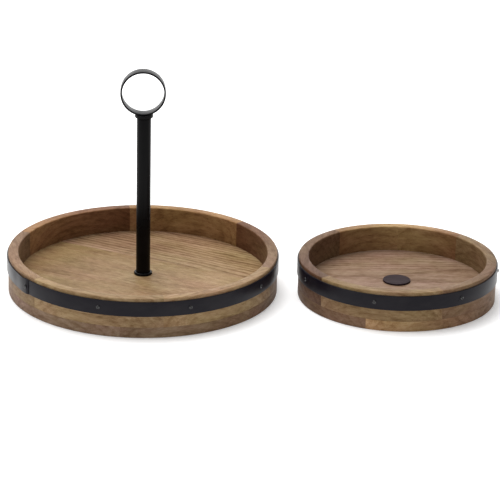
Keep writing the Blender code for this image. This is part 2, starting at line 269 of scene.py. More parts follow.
class Graph:
    """A material's node tree, filled one node at a time."""

    def __init__(self, name: str) -> None:
        """Starts a material with its Principled shader and output."""
        self.material = bpy.data.materials.new(name)
        self.material.use_nodes = True
        self.tree = self.material.node_tree
        self.shader = self.tree.nodes["Principled BSDF"]

    def add(self, kind: str, inputs: dict | None = None, **settings: object) -> bpy.types.Node:
        """Adds a node.

        Args:
            kind: The node's type name, without ShaderNode.
            inputs: Values or sockets by input name or number.
            settings: The node's own properties.

        Returns:
            The node.
        """
        node = self.tree.nodes.new("ShaderNode" + kind)
        for key, value in settings.items():
            setattr(node, key, value)
        for key, value in (inputs or {}).items():
            self.feed(node.inputs[key], value)
        return node

    def feed(self, socket: Socket, value: object) -> None:
        """Links a socket to a socket, or sets its value."""
        if isinstance(value, Socket):
            self.tree.links.new(value, socket)
        else:
            socket.default_value = value

    def maths(self, operation: str, *values: object) -> Socket:
        """The result of a Math node over numbers or sockets."""
        return self.add("Math", dict(enumerate(values)), operation=operation).outputs[0]

    def vectors(self, operation: str, *values: object) -> Socket:
        """The vector result of a Vector Math node over vectors or sockets."""
        return self.add("VectorMath", dict(enumerate(values)), operation=operation).outputs["Vector"]

    def noise(self, where: Socket, scale: Colour, detail: float, rough: float = 0.55) -> Socket:
        """A noise stretched by its own scale along each axis.

        Args:
            where: The coordinates, in metres.
            scale: Features per metre along X, Y and Z.
            detail: The number of finer octaves.
            rough: How strong each octave is against the one before.

        Returns:
            The noise's value.
        """
        place = self.vectors("MULTIPLY", where, scale)
        inputs = {"Vector": place, "Scale": 1.0, "Detail": detail, "Roughness": rough}
        return self.add("TexNoise", inputs).outputs["Fac"]

    def ramp(self, value: Socket, stops: list[tuple[float, Colour]]) -> Socket:
        """The colour of a ramp with the given positions and colours."""
        node = self.add("ValToRGB", {"Fac": value})
        elements = node.color_ramp.elements
        while len(elements) < len(stops):
            elements.new(0.5)
        for element, (position, colour) in zip(elements, stops):
            element.position = position
            element.color = (*colour, 1.0)
        return node.outputs["Color"]

    def span(
        self, value: Socket, source: tuple[float, float], target: tuple[float, float]
    ) -> Socket:
        """A value carried from one range to another, and held at its ends."""
        inputs = {
            "Value": value, "From Min": source[0], "From Max": source[1],
            "To Min": target[0], "To Max": target[1],
        }
        return self.add("MapRange", inputs).outputs[0]

    def bump(self, height: Socket, strength: float, distance: float) -> Socket:
        """The normal of a surface with this height."""
        inputs = {"Height": height, "Strength": strength, "Distance": distance}
        return self.add("Bump", inputs).outputs[0]

    def shade(self, inputs: dict[str, object]) -> Material:
        """Feeds the shader's inputs by name and gives back the finished material."""
        for name, value in inputs.items():
            self.feed(self.shader.inputs[name], value)
        return self.material


@dataclass(frozen=True)
class WoodFinish:
    """Stained and waxed hardwood with streaks, clouds, growth rings, fibres and pores.

    Every pattern is a noise in board coordinates, where X runs along the grain and the pith is
    the X axis, so it turns with the board and cuts through each face as real figure does. The
    pattern only lightens, darkens and tints; the stain attribute gives the block's own colour,
    and on a few blocks of the small tray painted shade as well.
    """

    name: str = "stained_hardwood"
    ring_spacing: float = 0.0072
    streak: float = 0.50
    cloud: float = 0.55
    mottle: float = 0.55
    fibre: float = 0.50
    ring: float = 0.42
    pore: float = 0.22
    specular: float = 0.09

    def material(self) -> Material:
        """Builds the node tree.

        Returns:
            The material, which reads the timber, stain and figure attributes.
        """
        g = Graph(self.name)
        timber = g.add("Attribute", attribute_name="timber").outputs["Vector"]
        stain = g.add("Attribute", attribute_name="stain").outputs["Color"]
        figure = g.add("Attribute", attribute_name="figure").outputs["Fac"]
        cloudy = g.noise(timber, (5, 17, 17), 2).node.outputs["Color"]
        drift = g.vectors("SUBTRACT", cloudy, (0.5, 0.5, 0.5))
        wood = g.vectors("ADD", timber, g.vectors("MULTIPLY", drift, (0.0, 0.012, 0.012)))
        line = self.ring_line(g, wood)
        streak = g.noise(wood, (5, 95, 95), 4)
        cloud = g.noise(wood, (14, 30, 30), 3)
        mottle = g.noise(wood, (70, 190, 190), 3)
        fibre = g.noise(wood, (90, 620, 620), 3, 0.65)
        pore = g.span(g.noise(wood, (130, 1500, 1500), 1), (0.60, 0.72), (0.0, 1.0))
        tone = self.mix_tone(g, figure, line, streak, cloud, mottle, fibre, pore)
        stops = [
            (0.0, (0.25, 0.19, 0.15)), (0.3, (0.68, 0.62, 0.56)),
            (0.5, (1.0, 1.0, 1.0)), (0.72, (1.32, 1.42, 1.55)), (1.0, (1.7, 1.95, 2.3)),
        ]
        shaded = g.vectors("MULTIPLY", stain, g.ramp(tone, stops))
        patch = g.noise(wood, (9, 22, 22), 2)
        tint = g.ramp(patch, [(0.32, (0.96, 1.02, 0.92)), (0.68, (1.04, 0.98, 1.05))])
        relief = g.maths("SUBTRACT", g.maths("MULTIPLY", fibre, 0.6), pore)
        return g.shade({
            "Base Color": g.vectors("MULTIPLY", shaded, tint),
            "Roughness": g.span(tone, (0.1, 0.9), (0.55, 0.42)),
            "Specular IOR Level": self.specular,
            "Normal": g.bump(relief, 0.35, 0.00025),
        })

    def ring_line(self, g: Graph, wood: Socket) -> Socket:
        """The dark late wood of each growth ring, from the distance to the pith over the spacing.

        Args:
            g: The graph.
            wood: The warped board coordinates.

        Returns:
            A value that climbs through each ring and falls back sharply at its end.
        """
        across = g.vectors("MULTIPLY", wood, (0.0, 1.0, 1.0))
        radius = g.add("VectorMath", {0: across}, operation="LENGTH").outputs["Value"]
        wander = g.maths("MULTIPLY", g.noise(wood, (6, 40, 40), 2), 1.6)
        count = g.maths("ADD", g.maths("DIVIDE", radius, self.ring_spacing), wander)
        stops = [(at, (dark,) * 3) for at, dark in ((0.0, 0.0), (0.45, 0.12), (0.84, 1.0), (1.0, 0.0))]
        return g.ramp(g.maths("FRACT", count), stops)

    def mix_tone(self, g: Graph, figure: Socket, line: Socket, *noises: Socket) -> Socket:
        """One light-to-dark value: half, plus each noise's swing, less the rings and the pores.

        Args:
            g: The graph.
            figure: How strongly the piece shows its streaks and rings.
            line: The ring lines.
            noises: Streak, cloud, mottle, fibre and pore, in that order.

        Returns:
            The tone, near 0 for the darkest wood and 1 for the palest.
        """
        streak, cloud, mottle, fibre, pore = noises
        centred = g.maths("SUBTRACT", streak, 0.5)
        bold = g.maths("MULTIPLY_ADD", figure, 1.25, 0.10)
        tone = g.maths("MULTIPLY_ADD", g.maths("MULTIPLY", centred, bold), self.streak, 0.5)
        for noise, swing in ((cloud, self.cloud), (mottle, self.mottle), (fibre, self.fibre)):
            tone = g.maths("MULTIPLY_ADD", g.maths("SUBTRACT", noise, 0.5), swing, tone)
        rings = g.maths("MULTIPLY", g.maths("SUBTRACT", line, 0.3), figure)
        tone = g.maths("SUBTRACT", tone, g.maths("MULTIPLY", rings, self.ring))
        return g.maths("SUBTRACT", tone, g.maths("MULTIPLY", pore, self.pore))


@dataclass(frozen=True)
class PaintFinish:
    """Satin powder coat: near black, with a fine orange peel and a slightly uneven sheen."""

    name: str = "black_powder_coat"
    colour: Colour = (0.0056, 0.0044, 0.0078)
    rubbed: Colour = (0.0125, 0.0108, 0.0135)
    roughness: tuple[float, float] = (0.27, 0.36)
    peel: float = 0.06
    specular: float = 0.13

    def material(self) -> Material:
        """Builds the node tree, on Object coordinates."""
        g = Graph(self.name)
        where = g.add("TexCoord").outputs["Object"]
        patch = g.noise(where, (28, 28, 60), 3)
        peel = g.noise(where, (900, 900, 900), 2)
        return g.shade({
            "Base Color": g.ramp(patch, [(0.42, self.colour), (0.78, self.rubbed)]),
            "Roughness": g.span(patch, (0.3, 0.7), self.roughness),
            "Specular IOR Level": self.specular,
            "Normal": g.bump(peel, self.peel, 0.0002),
        })


@dataclass(frozen=True)
class SteelFinish:
    """Zinc-plated steel of the bolt, washer, stud and inserts."""

    name: str = "zinc_plate"
    bright: Colour = (0.62, 0.62, 0.60)
    dull: Colour = (0.42, 0.42, 0.41)

    def material(self) -> Material:
        """Builds the node tree, on Object coordinates."""
        g = Graph(self.name)
        cloud = g.noise(g.add("TexCoord").outputs["Object"], (260, 260, 260), 4)
        return g.shade({
            "Base Color": g.ramp(cloud, [(0.35, self.dull), (0.65, self.bright)]),
            "Roughness": g.span(cloud, (0.3, 0.7), (0.42, 0.28)),
            "Metallic": 1.0,
            "Normal": g.bump(cloud, 0.08, 0.0001),
        })


class Stain(Enum):
    """The colours that the blocks' and boards' wood has under the stain; the darkest also holds
    painted shade.
    """

    GOLD = (0.345, 0.212, 0.098)
    HONEY = (0.265, 0.168, 0.085)
    TAN = (0.232, 0.150, 0.078)
    AMBER = (0.245, 0.130, 0.055)
    OLIVE = (0.215, 0.135, 0.068)
    ROSE = (0.200, 0.126, 0.082)
    FAWN = (0.182, 0.113, 0.053)
    CLAY = (0.165, 0.098, 0.055)
    TAWNY = (0.170, 0.082, 0.036)
    UMBER = (0.135, 0.075, 0.040)
    RUSSET = (0.115, 0.048, 0.021)
    # The darkest colour: dark wood with painted shade, the shadow that the large tray casts on the
    # small tray's left side.
    PAINTED_SHADE = (0.085, 0.042, 0.022)


# ---- places read from the frame


def corners_of(names: Sequence[str]) -> tuple[Array, Array]:
    """The lowest and highest corner of several CAD nodes together."""
    boxes = np.array([[list(corner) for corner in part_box(name)] for name in names])
    return boxes[:, 0].min(0), boxes[:, 1].max(0)


def round_of(*names: str) -> tuple[Array, float, float, float]:
    """The axis in X and Y, the radius, the bottom and the top of upright round CAD nodes."""
    low, high = corners_of(names)
    return (low[:2] + high[:2]) / 2, (high[0] - low[0]) / 2, low[2], high[2]


def nodes_like(start: str) -> list[str]:
    """The CAD nodes whose names start so, in the order of their numbers."""
    found = [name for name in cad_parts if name.startswith(start)]
    return sorted(found, key=lambda name: int(name.rsplit("_", 1)[1]))


def node_points(name: str) -> Array:
    """The (n, 3) vertices of a CAD node."""
    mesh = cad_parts[name].data
    points = np.empty(len(mesh.vertices) * 3, np.float32)
    mesh.vertices.foreach_get("co", points)
    return points.reshape(-1, 3).astype(float)


def bearings_of(points: Array, centre: Array) -> Array:
    """Each point's bearing from the front about a vertical axis, unwrapped about their mean."""
    offset = points[:, :2] - centre
    mean = offset.mean(0)
    facing = math.atan2(mean[0], -mean[1])
    turned = np.arctan2(offset[:, 0], -offset[:, 1]) - facing
    return np.degrees(facing + np.angle(np.exp(1j * turned)))


# ---- trays


@dataclass
class Wood:
    """How one block or board is cut from the log.

    Attributes:
        stain: Its colour at its first end.
        far_stain: Its colour at its other end, where that differs.
        figure: How strongly its growth rings show.
        pith: How far below its face the middle of the log was, in metres.
        tilt: The angle in degrees between its length and the log's, which opens the ring lines.
        shift: Where along the log it was cut, in metres.
        side: How far to one side of the pith it was cut, in metres.
    """

    stain: Stain = Stain.HONEY
    far_stain: Stain | None = None
    figure: float = 0.3
    pith: float = 0.07
    tilt: float = 2.0
    shift: float = 0.0
    side: float = 0.0

    def coordinates(self, along: Array, across: Array, depth: Array) -> Array:
        """Board coordinates from a piece's own axes.

        The length is turned by the tilt in the plane of the length and the depth, then moved by
        the shift, the side and the pith's distance.

        Args:
            along: Distance along the grain.
            across: Distance across the face.
            depth: Distance through the thickness.

        Returns:
            The coordinates, with a last axis of 3.
        """
        slope = math.radians(self.tilt)
        x = along * math.cos(slope) - depth * math.sin(slope) + self.shift
        z = along * math.sin(slope) + depth * math.cos(slope) + self.pith
        return np.stack([x, across + self.side, z], axis=-1)

    def colours(self, along: Array) -> Array:
        """The stain's colour, mixed evenly from one end of the piece to the other.

        Args:
            along: Distance along the piece, at each point.

        Returns:
            The colours, with a last axis of 3.
        """
        first = np.array(self.stain.value)
        last = np.array((self.far_stain or self.stain).value)
        share = (along - along.min()) / np.ptp(along)
        return first + (last - first) * share[..., None]


@dataclass
class Tray:
    """One glued tray with its band: all sizes and places come from its CAD nodes.

    Attributes:
        name: The prefix of its CAD nodes.
        body: The CAD body that it is.
        grain: The floor boards' grain direction from +X, in degrees.
        band_seam: The bearing of the band's lap.
        upper: How each upper rim block was cut.
        lower: How each lower rim block was cut.
        boards: How each floor board was cut.
        lap_loss: The share of its thickness that the band's outer end loses over lap_taper.
        cad_setback: How far each CAD block and board stops short of its glue line.
        screw_twist: The first screw's turn in degrees, and the step to each next one's.
    """

    name: str
    body: str
    grain: float
    band_seam: float
    upper: list[Wood]
    lower: list[Wood]
    boards: list[Wood]
    step: float = 0.75
    rim_round: float = 0.0018
    foot_round: float = 0.0014
    joint_round: float = 0.00025
    glue_line: float = 0.00004
    board_round: float = 0.00025
    band_round: float = 0.00035
    lap: float = 0.011
    lap_ramp: float = 0.030
    lap_taper: float = 0.004
    lap_loss: float = 0.7
    band_thickness: float = 0.0018
    band_steps: int = 900
    hidden_gap: float = 0.0001
    cad_setback: float = 0.00015
    ledge_gap: float = 0.0003
    edge_share: float = 0.3
    hole_shares: tuple[float, ...] = (0.0, 0.06, 0.2, 0.5)
    screw_twist: tuple[float, float] = (23, 47)

    def __post_init__(self) -> None:
        """Reads the tray's sizes from the frame."""
        self.upper_nodes = nodes_like(f"{self.name}_rim_upper_")
        self.lower_nodes = nodes_like(f"{self.name}_rim_lower_")
        self.board_nodes = nodes_like(f"{self.name}_floor_board_")
        self.screw_nodes = nodes_like(f"{self.name}_band_screw_")
        self.centre, self.radius, self.split, self.top = round_of(*self.upper_nodes)
        floor_low, floor_high = corners_of(self.board_nodes)
        self.floor_bottom, self.floor_top = floor_low[2], floor_high[2]
        self.inner = self.reach(self.upper_nodes[0]).min()
        self.ledge = min(self.reach(name).min() for name in self.lower_nodes)
        self.hole = self.reach(self.board_nodes[1]).min()

    def reach(self, name: str) -> Array:
        """Each vertex's distance from the tray's axis, for one CAD node."""
        return np.linalg.norm(node_points(name)[:, :2] - self.centre, axis=1)

    def block_grid(self, node: str, profile: Array) -> tuple[Array, float]:
        """A rim block as its profile carried from one glue line to the next.

        Args:
            node: The CAD node that gives its two bearings.
            profile: The (radius, height) outline.

        Returns:
            The grid, and the bearing of the block's middle.
        """
        bearings = bearings_of(node_points(node), self.centre)
        extra = math.degrees((self.cad_setback - self.glue_line / 2) / self.inner)
        start, end = bearings.min() - extra, bearings.max() + extra
        count = max(2, round((end - start) / self.step))
        return turn(profile, np.linspace(start, end, count + 1), self.centre), (start + end) / 2

    def block_timber(self, grid: Array, middle: float, wood: Wood) -> Array:
        """Board coordinates of a rim block, whose grain runs along its chord.

        Args:
            grid: The block's points.
            middle: The bearing of its middle.
            wood: How it was cut.

        Returns:
            The coordinates, as a grid.
        """
        angle = math.radians(middle)
        offset = grid[..., :2] - self.centre
        along = offset @ np.array([math.cos(angle), math.sin(angle)])
        out = offset @ np.array([math.sin(angle), -math.cos(angle)]) - self.radius
        return wood.coordinates(along, grid[..., 2], -out)

    def build_rim(self, finish: Material) -> None:
        """Builds both rings of rim blocks."""
        outer, inner, ledge = self.radius, self.inner, self.ledge
        joint, rim = self.joint_round, self.rim_round
        upper = fillet_outline(
            [(outer, self.split), (outer, self.top), (inner, self.top), (inner, self.split)],
            [joint, rim, rim, joint],
        )
        under = self.floor_bottom - self.ledge_gap
        seam = self.split - self.glue_line
        lower = fillet_outline(
            [(ledge, 0.0), (outer, 0.0), (outer, seam), (inner, seam), (inner, under), (ledge, under)],
            [joint, self.foot_round] + [joint] * 4,
        )
        rings = (
            (self.upper_nodes, upper, self.upper, "rim_wood"),
            (self.lower_nodes, lower, self.lower, "rim_wood_dark"),
        )
        for nodes, profile, woods, slot in rings:
            for node, wood in zip(nodes, woods):
                grid, middle = self.block_grid(node, profile)
                timber = self.block_timber(grid, middle, wood)
                stain = wood.colours(timber[..., 0])
                piece = Piece(f"{node}_block", grid, False, timber, stain, wood.figure)
                piece.build(finish, self.body, slot, [node])

    def board_loop(self, radius: float, low: float, high: float, count: int = 120) -> Array:
        """The outline of a disc between two chords, in board axes.

        The right-hand arc runs from asin(low / radius) to asin(high / radius), and the left-hand
        arc is its mirror image, so the two straight chords close the loop.

        Args:
            radius: The disc's radius.
            low: The lower chord's distance from the centre.
            high: The upper chord's distance from the centre.
            count: The points on each arc.

        Returns:
            The (2 * count, 2) points.
        """
        ends = np.arcsin(np.clip([low / radius, high / radius], -1, 1))
        rise = np.linspace(ends[0], ends[1], count)
        right = np.stack([radius * np.cos(rise), radius * np.sin(rise)], axis=-1)
        return np.concatenate([right, right[::-1] * (-1, 1)])

    def build_floor(self, finish: Material) -> None:
        """Builds the floor boards, the middle one with the tray's hole."""
        turned = math.radians(self.grain)
        along_axis = np.array([math.cos(turned), math.sin(turned)])
        across_axis = np.array([-math.sin(turned), math.cos(turned)])
        radius = self.inner - self.glue_line
        ease, bottom, top = self.board_round, self.floor_bottom, self.floor_top
        part = ease * self.edge_share
        levels = [
            (ease, bottom), (0.0, bottom + ease), (0.0, top - ease), (part, top - part), (ease, top),
        ]
        last = len(self.board_nodes) - 1
        for number, (node, wood) in enumerate(zip(self.board_nodes, self.boards)):
            across = (node_points(node)[:, :2] - self.centre) @ across_axis
            low = across.min() - self.cad_setback + self.glue_line / 2 if number else -radius
            high = across.max() + self.cad_setback - self.glue_line / 2 if number < last else radius
            loops = []
            for inset, height in levels:
                reach = radius - inset
                clear_low = low + (inset if number else 0.0)
                clear_high = high - (inset if number < last else 0.0)
                loop = self.board_loop(reach, max(clear_low, -reach), min(clear_high, reach))
                loops.append(np.column_stack([loop, np.full(len(loop), height)]))
            wrap = number == 1
            if wrap:
                loops = self.hole_loops(loops[0], self.floor_bottom) + loops
                loops += self.hole_loops(loops[-1], self.floor_top)[::-1]
            flat = np.stack(loops)
            timber = wood.coordinates(flat[..., 0], flat[..., 1], flat[..., 2])
            plan = flat[..., :1] * along_axis + flat[..., 1:2] * across_axis + self.centre
            grid = np.concatenate([plan, flat[..., 2:]], axis=-1)
            stain = wood.colours(flat[..., 0])
            piece = Piece(f"{node}_plank", grid, wrap, timber, stain, wood.figure)
            piece.build(finish, self.body, "floor_wood", [node])

    def hole_loops(self, outline: Array, height: float) -> list[Array]:
        """Loops from the hole's edge out towards a board's outline.

        Loop t is the hole's circle mixed with the outline, (1 - t) h + t o, along the same rays.

        Args:
            outline: The board's (n, 3) outline.
            height: The face's height.

        Returns:
            The loops, from the hole outwards.
        """
        ray = outline[:, :2] / np.linalg.norm(outline[:, :2], axis=1, keepdims=True)
        edge = ray * self.hole
        loops = []
        for share in self.hole_shares:
            plan = edge * (1 - share) + outline[:, :2] * share
            loops.append(np.column_stack([plan, np.full(len(plan), height)]))
        return loops

    def band_grid(self) -> Array:
        """The band's section carried round from its inner end to its lapped outer end.

        The inner radius steps out by one thickness over the ramp before the lap, with a smooth
        step, so that the outer end lies flat on the inner end. The outer end thins over its last
        few millimetres, with another smooth step.

        Returns:
            The grid of points.
        """
        low, high = corners_of([f"{self.name}_band"])
        thickness = self.band_thickness
        inside = self.radius + self.hidden_gap
        lap = math.degrees(self.lap / self.radius)
        start = self.band_seam - lap / 2
        degrees = np.linspace(start, start + 360 + lap, self.band_steps)
        travelled = np.radians(degrees - start)
        lap_start = math.radians(360)
        rise = smooth_step(travelled, lap_start - self.lap_ramp / self.radius, lap_start)
        section = ring_section(0.0, thickness, low[2], high[2], self.band_round, 3)
        profiles = np.repeat(section[None], len(degrees), axis=0)
        end = math.radians(360 + lap)
        thinned = smooth_step(travelled, end - self.lap_taper / self.radius, end)
        profiles[..., 0] *= (1 - self.lap_loss * thinned)[:, None]
        profiles[..., 0] += (inside + rise * (thickness + 2 * self.hidden_gap))[:, None]
        return turn(profiles, degrees, self.centre)

    def build_band(self, finish: Material) -> None:
        """Builds the band."""
        piece = Piece(f"{self.name}_steel_band", self.band_grid(), False)
        piece.build(finish, self.body, "black_metal", [f"{self.name}_band"])

    def build_screws(self, finish: Material) -> None:
        """Builds a dome-headed screw on each CAD screw's place, each turned its own way."""
        up = np.array([0.0, 0.0, 1.0])
        first, further = self.screw_twist
        for number, node in enumerate(self.screw_nodes):
            points = node_points(node)
            bearing = math.radians(float(bearings_of(points, self.centre).mean()))
            out = np.array([math.sin(bearing), -math.cos(bearing), 0.0])
            top = ((points[:, :2] - self.centre) @ out[:2]).max()
            height = (points[:, 2].min() + points[:, 2].max()) / 2
            screw = DomeScrew(twist=math.radians(first + further * number))
            grid = screw.grid()
            base = np.array([*self.centre, height]) + out * (top - screw.head_height)
            placed = base + grid @ np.stack([np.cross(up, out), up, out])
            piece = Piece(f"{node}_dome", placed, False)
            piece.build(finish, self.body, "black_metal", [node])


@dataclass
class DomeScrew:
    """A low dome-headed screw with a cross recess, along +Z from the head's underside.

    Attributes:
        twist: How far the recess is turned, in radians.
        dome_span: The dome's first and last loops, as shares of the head's radius.
        dome_share: How much of a half ball's radius the dome takes up.
        recess_flank: Where a slot's side starts and ends, as shares of the recess's width.
        tip: The point's radius and where it starts, as shares of the shank's.
    """

    twist: float
    head_radius: float = 0.0030
    head_height: float = 0.0017
    shank_radius: float = 0.0015
    length: float = 0.012
    recess_depth: float = 0.0009
    recess_length: float = 0.0017
    recess_width: float = 0.00042
    dome_span: tuple[float, float] = (0.03, 1.0)
    dome_share: float = 0.93
    edge_height: float = 0.0003
    recess_flank: tuple[float, float] = (0.75, 1.35)
    recess_slope: float = 0.6
    tip: tuple[float, float] = (0.3, 0.75)

    def recess(self, x: Array, y: Array) -> Array:
        """The cross recess's depth: the deeper of two crossed slots, (1 - |u| / L)^k deep."""
        u = x * math.cos(self.twist) + y * math.sin(self.twist)
        v = y * math.cos(self.twist) - x * math.sin(self.twist)
        start, stop = (self.recess_width * share for share in self.recess_flank)
        slots = []
        for a, b in ((u, v), (v, u)):
            side = 1 - smooth_step(np.abs(b), start, stop)
            end = np.clip(1 - np.abs(a) / self.recess_length, 0, 1) ** self.recess_slope
            slots.append(side * end)
        return self.recess_depth * np.maximum(*slots)

    def grid(self) -> Array:
        """The screw's loops, from the middle of the dome out, under the head and down the shank.

        The dome is z = h sqrt(1 - (k r / R)^2), scaled to end at the head's edge.

        Returns:
            The (s, p, 3) grid.
        """
        angle = full_turn(48)
        centre = np.zeros(2)
        radius = np.linspace(*self.dome_span, 20) * self.head_radius
        curve = np.sqrt(1 - (self.dome_share * radius / self.head_radius) ** 2)
        edge = math.sqrt(1 - self.dome_share**2)
        rise = self.head_height - self.edge_height
        dome = self.edge_height + rise * (curve - edge) / (1 - edge)
        head = loops_about(centre, radius[:, None], angle, dome[:, None])
        head[..., 2] -= self.recess(head[..., 0], head[..., 1])
        tip_radius, tip_start = self.tip
        tail = np.array([
            (self.head_radius, 0.0), (self.shank_radius, 0.0),
            (self.shank_radius, -self.length * tip_start),
            (self.shank_radius * tip_radius, -self.length),
        ])
        return np.concatenate([head, loops_about(centre, tail[:, :1], angle, tail[:, 1:])])


# ---- post, ring, plug


@dataclass
class Post:
    """The tube, its foot flange and the fixings under the floor."""

    wall: float = 0.002
    tube_round: float = 0.0004
    flange_gap: float = 0.0001
    flange_rounds: tuple[float, ...] = (0.0002, 0.0003, 0.0015, 0.0003)
    facets: int = 128

    def build(self, paint: Material, steel: Material) -> None:
        """Builds the tube and the flange, and dresses the inserts that stay inside."""
        round_about = np.linspace(0, 360, self.facets, endpoint=False)
        axis, outer, low, high = round_of("post_tube")
        tube = ring_section(outer - self.wall, outer, low, high, self.tube_round)
        piece = Piece("post_steel_tube", turn(tube, round_about, axis), True)
        piece.build(paint, LARGE_BODY, "black_metal", ["post_tube"])
        _, reach, low, high = round_of("post_foot_flange")
        flange = ring_section(outer + self.flange_gap, reach, low, high, self.flange_rounds, 6)
        piece = Piece("post_foot_collar", turn(flange, round_about, axis), True)
        piece.build(paint, LARGE_BODY, "black_metal", ["post_foot_flange"])
        for node in ("post_foot_insert", "post_top_insert"):
            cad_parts[node].data.materials.clear()
            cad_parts[node].data.materials.append(steel)


@dataclass
class ThreadedRod:
    """A rod with a cut 60 degree thread, as a radius over height and bearing.

    The radius is R - d |2 frac(z / p - a / 2 pi) - 1|, which winds by one pitch in each turn.
    """

    radius: float
    low: float
    high: float
    pitch: float = 0.00125
    depth: float = 0.0007
    steps_per_turn: int = 10

    def loops(self, axis: Array, around: int = 48) -> Array:
        """The rod's loops from its low end to its high end.

        Args:
            axis: The X and Y of its axis.
            around: The points in each loop.

        Returns:
            The (s, around, 3) grid.
        """
        angle = full_turn(around)
        count = round((self.high - self.low) / self.pitch * self.steps_per_turn)
        z = np.linspace(self.low, self.high, count)[:, None]
        turns = z / self.pitch - angle / (2 * math.pi)
        cut = np.abs(2 * (turns - np.floor(turns)) - 1)
        ends = smooth_step(z, self.low, self.low + self.pitch)
        ends = ends * smooth_step(-z, -self.high, self.pitch - self.high)
        radius = self.radius - self.depth * (1 - ends * (1 - cut))
        return loops_about(axis, radius, angle, z)


@dataclass
class Fixings:
    """The hexagon bolt and washer under the large tray's floor.

    Attributes:
        cone: The radius that the head's corners are turned to, at each rise from its underside.
    """

    across_flats: float = 0.013
    head_height: float = 0.0053
    shank: float = 0.004
    washer_hole: float = 0.0043
    washer_round: float = 0.0003
    cone: tuple[tuple[float, float], ...] = (
        (0.0055, 0.0), (0.0062, 0.0002), (0.0068, 0.0006), (0.0080, 0.0013),
    )

    def build(self, steel: Material) -> None:
        """Builds the washer and the bolt."""
        round_about = np.linspace(0, 360, 96, endpoint=False)
        axis, outer, low, high = round_of("base_washer")
        washer = ring_section(self.washer_hole, outer, low, high, self.washer_round)
        piece = Piece("base_plated_washer", turn(washer, round_about, axis), True)
        piece.build(steel, LARGE_BODY, "plated_steel", ["base_washer"])
        _, _, low, high = round_of("clamp_bolt")
        rod = ThreadedRod(self.shank, low + self.head_height, high)
        bolt = np.concatenate([self.head(low, axis), rod.loops(axis)])
        piece = Piece("clamp_hex_bolt", bolt, False, crease=25)
        piece.build(steel, LARGE_BODY, "plated_steel", ["clamp_bolt"])

    def head(self, bottom: float, axis: Array) -> Array:
        """The hexagon head's loops, with its lower corners turned off.

        The hexagon's radius at bearing a is (f / 2) / cos((a mod 60) - 30), cut to a cone.

        Args:
            bottom: The head's lowest height.
            axis: The X and Y of its axis.

        Returns:
            The loops, from the middle of the underside to the top of the head.
        """
        angle = full_turn(48)
        hexagon = self.across_flats / 2 / np.cos(np.mod(angle, math.pi / 3) - math.pi / 6)
        limit, rise = np.array([*self.cone, (self.cone[-1][0], self.head_height)]).T[..., None]
        return loops_about(axis, np.minimum(hexagon, limit), angle, bottom + rise)


@dataclass
class RingHandle:
    """The rolled ring on its collar, the stud below it and the washer between it and the post."""

    strip: float = 0.0026
    strip_round: float = 0.0005
    yaw: float = math.radians(2.5)
    collar_rounds: tuple[float, ...] = (0.0003, 0.0011, 0.0004, 0.0003)
    collar_block: float = 0.01
    seat_gap: float = 0.0001
    stud_hole: float = 0.0043
    washer_round: float = 0.0002
    facets: int = 192

    def build(self, paint: Material, steel: Material) -> None:
        """Builds the ring's four pieces."""
        self.build_hoop(paint)
        self.build_collar(paint)
        self.build_stud(steel)
        self.build_washer(paint)

    def build_hoop(self, paint: Material) -> None:
        """Carries the strip's section round a level axis that is turned from Y by the yaw.

        The ring's box is R sin(yaw) + h cos(yaw) deep to each side, which gives the strip's half
        width h.
        """
        low, high = corners_of(["ring_hoop"])
        middle = (low + high) / 2
        outer = (high[2] - low[2]) / 2
        half = ((high[1] - low[1]) / 2 - outer * math.sin(self.yaw)) / math.cos(self.yaw)
        section = ring_section(outer - self.strip, outer, -half, half, self.strip_round)
        flat = turn(section, np.linspace(0, 360, self.facets, endpoint=False))
        x = flat[..., 0] * math.cos(self.yaw) - flat[..., 2] * math.sin(self.yaw)
        y = flat[..., 0] * math.sin(self.yaw) + flat[..., 2] * math.cos(self.yaw)
        grid = np.stack([x, y, flat[..., 1]], axis=-1) + middle
        Piece("ring_rolled_hoop", grid, True).build(paint, RING_BODY, "black_metal", ["ring_hoop"])

    def build_collar(self, paint: Material) -> None:
        """Builds the collar, whose top follows the ring.

        It starts as a plain block. The top is then moved to the height of the ring's outside
        over it, c - sqrt(R^2 - d^2), where d is the distance across from the ring's axis, and it
        is flat where that would stand too high.
        """
        axis, radius, bottom, highest = round_of("ring_collar")
        ring_low, ring_high = corners_of(["ring_hoop"])
        ring = (ring_low + ring_high) / 2
        seat = (ring_high[2] - ring_low[2]) / 2 + self.seat_gap
        top = bottom + self.collar_block
        side = ring_section(self.stud_hole, radius, bottom, top, self.collar_rounds, 6)
        grid = turn(side, np.linspace(0, 360, self.facets, endpoint=False), axis)
        offset = grid[..., :2] - ring[:2]
        across = offset @ np.array([math.cos(self.yaw), math.sin(self.yaw)])
        saddle = np.minimum(ring[2] - np.sqrt(seat**2 - across**2), highest)
        over = grid[..., 2] > bottom + self.collar_block / 2
        grid[..., 2] = np.where(over, saddle + (grid[..., 2] - top), grid[..., 2])
        piece = Piece("ring_welded_collar", grid, True)
        piece.build(paint, RING_BODY, "black_metal", ["ring_collar"])

    def build_stud(self, steel: Material) -> None:
        """Builds the threaded stud."""
        axis, radius, low, high = round_of("ring_stud")
        grid = ThreadedRod(radius, low, high).loops(axis)
        piece = Piece("ring_threaded_stud", grid, False, crease=60)
        piece.build(steel, RING_BODY, "plated_steel", ["ring_stud"])

    def build_washer(self, paint: Material) -> None:
        """Builds the thin washer that rides on the stud."""
        axis, outer, low, high = round_of("handle_washer")
        section = ring_section(self.stud_hole, outer, low, high, self.washer_round)
        grid = turn(section, np.linspace(0, 360, 96, endpoint=False), axis)
        piece = Piece("handle_thin_washer", grid, True)
        piece.build(paint, WASHER_BODY, "black_metal", ["handle_washer"])


